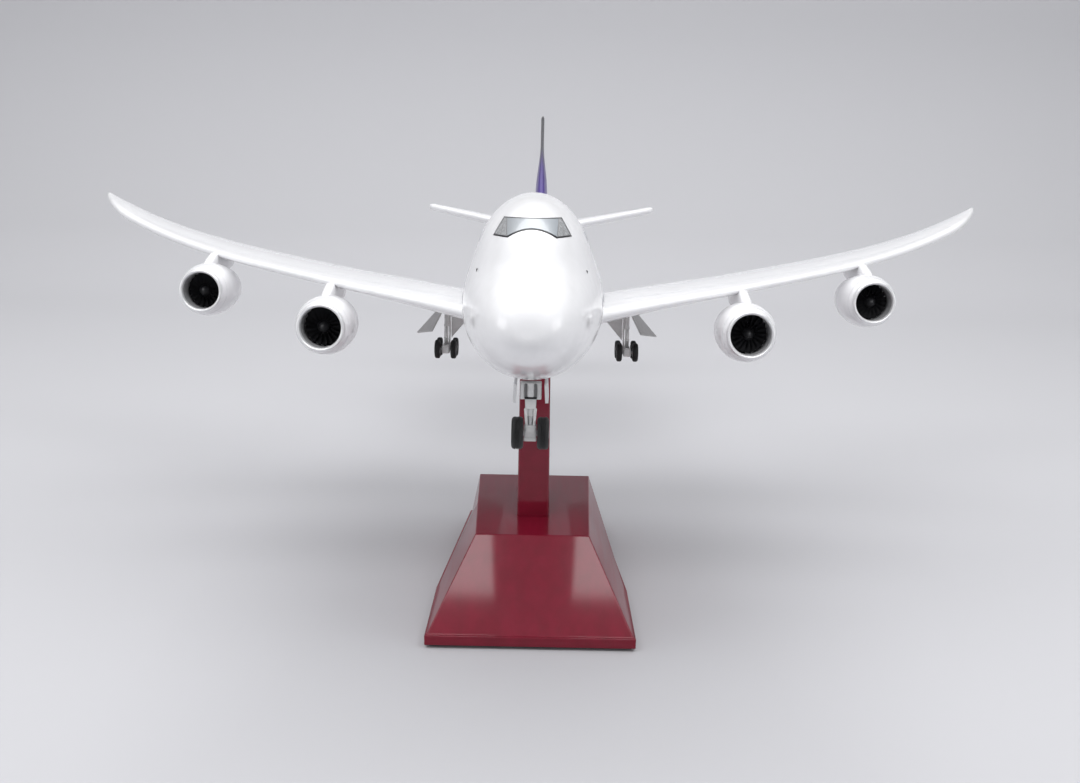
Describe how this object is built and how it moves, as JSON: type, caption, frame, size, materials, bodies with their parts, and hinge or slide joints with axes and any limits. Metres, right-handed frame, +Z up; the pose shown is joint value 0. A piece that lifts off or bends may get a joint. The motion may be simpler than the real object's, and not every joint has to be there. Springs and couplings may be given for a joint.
{
  "type": "desktop airliner model on a stand",
  "caption": "Desk display model of a double-deck jet airliner with spinning fans and wheels, nose raised on a red lacquered wooden stand that it lifts off.",
  "frame": {"origin": "centre of the stand's felted underside, on the table", "axes": "+Z up; the nose points to -Y; +X is the aircraft's port side"},
  "size_m": [0.44, 0.5129, 0.1801],
  "materials": {
    "white_gloss": "white gloss paint over moulded plastic",
    "violet_paint": "deep violet-blue gloss paint",
    "smoked_glass_print": "silver-grey glazing with a dark outline",
    "polished_lip": "bright silver paint",
    "grey_metal_paint": "metallic grey",
    "dark_fan": "near-black fan blades",
    "black_tyre": "matt black tyre with a dark hub",
    "silver_gear": "silver paint",
    "grey_door": "mid grey satin",
    "red_lacquered_wood": "deep red high-gloss lacquer over wood",
    "bright_steel": "bright steel",
    "felt": "black felt"
  },
  "bodies": {
    "stand": {"base_felt": "felt", "stand_base": "red_lacquered_wood", "stand_post": "red_lacquered_wood", "post_screw": "bright_steel", "mount_pin": "bright_steel"},
    "airframe": {"fuselage_port": "white_gloss", "fuselage_starboard": "white_gloss", "wing_port": "white_gloss", "wing_starboard": "white_gloss", "tailplane_port": "white_gloss", "tailplane_starboard": "white_gloss", "fin": "violet_paint", "cockpit_windows": "smoked_glass_print", "belly_fairing": "white_gloss", "pin_socket": "white_gloss", "pylon_port_inner": "white_gloss", "inlet_lip_port_inner": "polished_lip", "nacelle_port_inner": "white_gloss", "engine_core_port_inner": "grey_metal_paint", "pylon_starboard_inner": "white_gloss", "inlet_lip_starboard_inner": "polished_lip", "nacelle_starboard_inner": "white_gloss", "engine_core_starboard_inner": "grey_metal_paint", "pylon_port_outer": "white_gloss", "inlet_lip_port_outer": "polished_lip", "nacelle_port_outer": "white_gloss", "engine_core_port_outer": "grey_metal_paint", "pylon_starboard_outer": "white_gloss", "inlet_lip_starboard_outer": "polished_lip", "nacelle_starboard_outer": "white_gloss", "engine_core_starboard_outer": "grey_metal_paint", "nose_gear_leg": "silver_gear", "nose_axle": "bright_steel", "wing_gear_leg_port": "silver_gear", "wing_gear_leg_starboard": "silver_gear", "body_gear_leg_port": "silver_gear", "body_gear_leg_starboard": "silver_gear", "wing_gear_door_port": "grey_door", "inboard_gear_door_port": "grey_door", "body_gear_door_port": "grey_door", "nose_gear_door_port": "grey_door", "wing_gear_door_starboard": "grey_door", "inboard_gear_door_starboard": "grey_door", "body_gear_door_starboard": "grey_door", "nose_gear_door_starboard": "grey_door"},
    "fan_port_inner": {"fan_port_inner": "dark_fan"},
    "fan_starboard_inner": {"fan_starboard_inner": "dark_fan"},
    "fan_port_outer": {"fan_port_outer": "dark_fan"},
    "fan_starboard_outer": {"fan_starboard_outer": "dark_fan"},
    "nose_wheel_port": {"nose_wheel_port": "black_tyre"},
    "nose_wheel_starboard": {"nose_wheel_starboard": "black_tyre"},
    "wing_wheels_port_front": {"wing_wheels_port_front": "black_tyre"},
    "wing_wheels_port_rear": {"wing_wheels_port_rear": "black_tyre"},
    "wing_wheels_starboard_front": {"wing_wheels_starboard_front": "black_tyre"},
    "wing_wheels_starboard_rear": {"wing_wheels_starboard_rear": "black_tyre"},
    "body_wheels_port_front": {"body_wheels_port_front": "black_tyre"},
    "body_wheels_port_rear": {"body_wheels_port_rear": "black_tyre"},
    "body_wheels_starboard_front": {"body_wheels_starboard_front": "black_tyre"},
    "body_wheels_starboard_rear": {"body_wheels_starboard_rear": "black_tyre"}
  },
  "joints": [
    {"name": "airframe_lift", "type": "slide", "parent": "stand", "child": "airframe", "axis": [0, 0.1219, 0.9925], "range_m": [0, 0.016]},
    {"name": "fan_spin_port_inner", "type": "hinge", "parent": "airframe", "child": "fan_port_inner", "pos_m": [0.07867, -0.02311, 0.11133], "axis": [0, 0.9925, -0.1219], "continuous": true},
    {"name": "fan_spin_starboard_inner", "type": "hinge", "parent": "airframe", "child": "fan_starboard_inner", "pos_m": [-0.07867, -0.02311, 0.11133], "axis": [0, 0.9925, -0.1219], "continuous": true},
    {"name": "fan_spin_port_outer", "type": "hinge", "parent": "airframe", "child": "fan_port_outer", "pos_m": [0.13933, 0.03225, 0.1136], "axis": [0, 0.9925, -0.1219], "continuous": true},
    {"name": "fan_spin_starboard_outer", "type": "hinge", "parent": "airframe", "child": "fan_starboard_outer", "pos_m": [-0.13933, 0.03225, 0.1136], "axis": [0, 0.9925, -0.1219], "continuous": true},
    {"name": "nose_wheel_spin_port", "type": "hinge", "parent": "airframe", "child": "nose_wheel_port", "pos_m": [0.00305, -0.15472, 0.11379], "axis": [1, 0, 0], "continuous": true},
    {"name": "nose_wheel_spin_starboard", "type": "hinge", "parent": "airframe", "child": "nose_wheel_starboard", "pos_m": [-0.00305, -0.15472, 0.11379], "axis": [1, 0, 0], "continuous": true},
    {"name": "wing_wheels_spin_port_front", "type": "hinge", "parent": "airframe", "child": "wing_wheels_port_front", "pos_m": [0.03813, 0.02675, 0.09124], "axis": [1, 0, 0], "continuous": true},
    {"name": "wing_wheels_spin_port_rear", "type": "hinge", "parent": "airframe", "child": "wing_wheels_port_rear", "pos_m": [0.03813, 0.03628, 0.09007], "axis": [1, 0, 0], "continuous": true},
    {"name": "wing_wheels_spin_starboard_front", "type": "hinge", "parent": "airframe", "child": "wing_wheels_starboard_front", "pos_m": [-0.03813, 0.02675, 0.09124], "axis": [1, 0, 0], "continuous": true},
    {"name": "wing_wheels_spin_starboard_rear", "type": "hinge", "parent": "airframe", "child": "wing_wheels_starboard_rear", "pos_m": [-0.03813, 0.03628, 0.09007], "axis": [1, 0, 0], "continuous": true},
    {"name": "body_wheels_spin_port_front", "type": "hinge", "parent": "airframe", "child": "body_wheels_port_front", "pos_m": [0.0128, 0.0456, 0.08892], "axis": [1, 0, 0], "continuous": true},
    {"name": "body_wheels_spin_port_rear", "type": "hinge", "parent": "airframe", "child": "body_wheels_port_rear", "pos_m": [0.0128, 0.05513, 0.08775], "axis": [1, 0, 0], "continuous": true},
    {"name": "body_wheels_spin_starboard_front", "type": "hinge", "parent": "airframe", "child": "body_wheels_starboard_front", "pos_m": [-0.0128, 0.0456, 0.08892], "axis": [1, 0, 0], "continuous": true},
    {"name": "body_wheels_spin_starboard_rear", "type": "hinge", "parent": "airframe", "child": "body_wheels_starboard_rear", "pos_m": [-0.0128, 0.05513, 0.08775], "axis": [1, 0, 0], "continuous": true}
  ]
}
